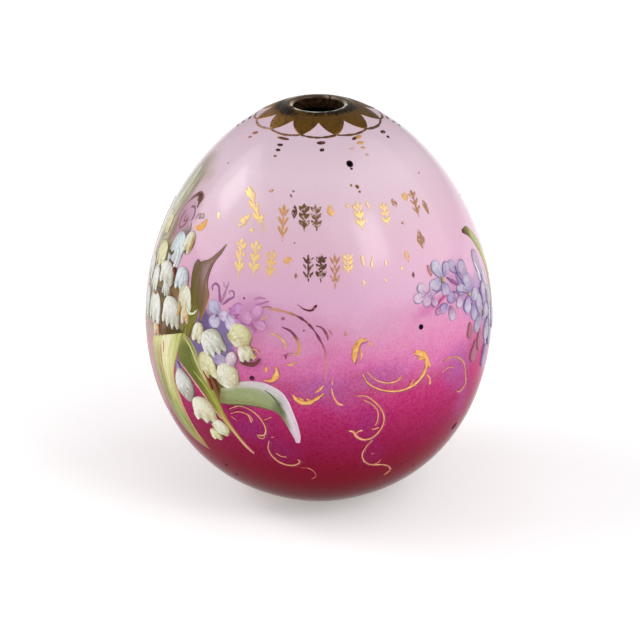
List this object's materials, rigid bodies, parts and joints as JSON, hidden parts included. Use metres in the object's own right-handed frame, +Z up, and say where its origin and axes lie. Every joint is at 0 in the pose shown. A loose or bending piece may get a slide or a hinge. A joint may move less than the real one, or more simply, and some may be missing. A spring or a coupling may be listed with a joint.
{
  "type": "hollow painted porcelain egg",
  "caption": "Hollow glazed porcelain egg with a ribbon hole at each end, painted with raised enamel flowers, leaves and gilt scrolls.",
  "frame": {"origin": "centre of the flat ground foot ring, on the plane the egg stands on", "axes": "+Z up along the egg's own axis; the middle of the decorated front faces -Y"},
  "size_m": [0.08, 0.0804, 0.0935],
  "materials": {
    "porcelain": "glossy glaze over a sprayed ground from pale pink at the top to deep crimson at the foot",
    "gilding": null,
    "green_enamel": "satin raised enamel in olive, yellow-green and sage",
    "white_enamel": "satin raised enamel, white to cream with grey-green shade",
    "lilac_enamel": "satin raised enamel, pale lilac with violet outlines"
  },
  "bodies": {
    "root": {"bell_big_white": "white_enamel", "bell_cream_side": "white_enamel", "bell_edge_lower": "white_enamel", "bell_edge_upper": "white_enamel", "bell_mid_blue": "white_enamel", "bell_mid_grey": "white_enamel", "bell_pair_left": "white_enamel", "bell_pair_right": "white_enamel", "bell_round_white": "white_enamel", "bell_upper_cream": "white_enamel", "bell_upper_grey": "white_enamel", "bell_yellow": "white_enamel", "bud_lower": "white_enamel", "bud_middle": "white_enamel", "bud_upper": "white_enamel", "gilt_rosette_foot": "gilding", "gilt_rosette_top": "gilding", "gilt_sprig_lower_1": "gilding", "gilt_sprig_lower_2": "gilding", "gilt_sprig_lower_3": "gilding", "gilt_sprig_lower_4": "gilding", "gilt_sprig_upper_1": "gilding", "gilt_sprig_upper_2": "gilding", "gilt_sprig_upper_3": "gilding", "gilt_sprig_upper_4": "gilding", "gilt_sprig_upper_5": "gilding", "leaf_back_long": "green_enamel", "leaf_back_short": "green_enamel", "leaf_blade": "green_enamel", "leaf_drooping": "green_enamel", "leaf_edge_stem": "green_enamel", "leaf_light": "green_enamel", "leaf_tall": "green_enamel", "lilac_back_low": "lilac_enamel", "lilac_back_top": "lilac_enamel", "lilac_left": "lilac_enamel", "lilac_right_bud": "lilac_enamel", "lilac_right_full": "lilac_enamel", "lilac_right_low": "lilac_enamel", "lilac_right_pale": "lilac_enamel", "lilac_right_small": "lilac_enamel", "lilac_right_top": "lilac_enamel", "porcelain_body": "porcelain", "scroll_back_left": "gilding", "scroll_back_low": "gilding", "scroll_centre_inner": "gilding", "scroll_centre_outer": "gilding", "scroll_comma": "gilding", "scroll_crescent": "gilding", "scroll_far_left": "gilding", "scroll_far_right": "gilding", "scroll_hook": "gilding", "scroll_left_lower": "gilding", "scroll_low_wave": "gilding", "scroll_right_lower": "gilding", "scroll_right_lower_inner": "gilding", "scroll_right_tail": "gilding", "scroll_right_upper": "gilding", "scroll_right_upper_inner": "gilding"}
  },
  "joints": []
}
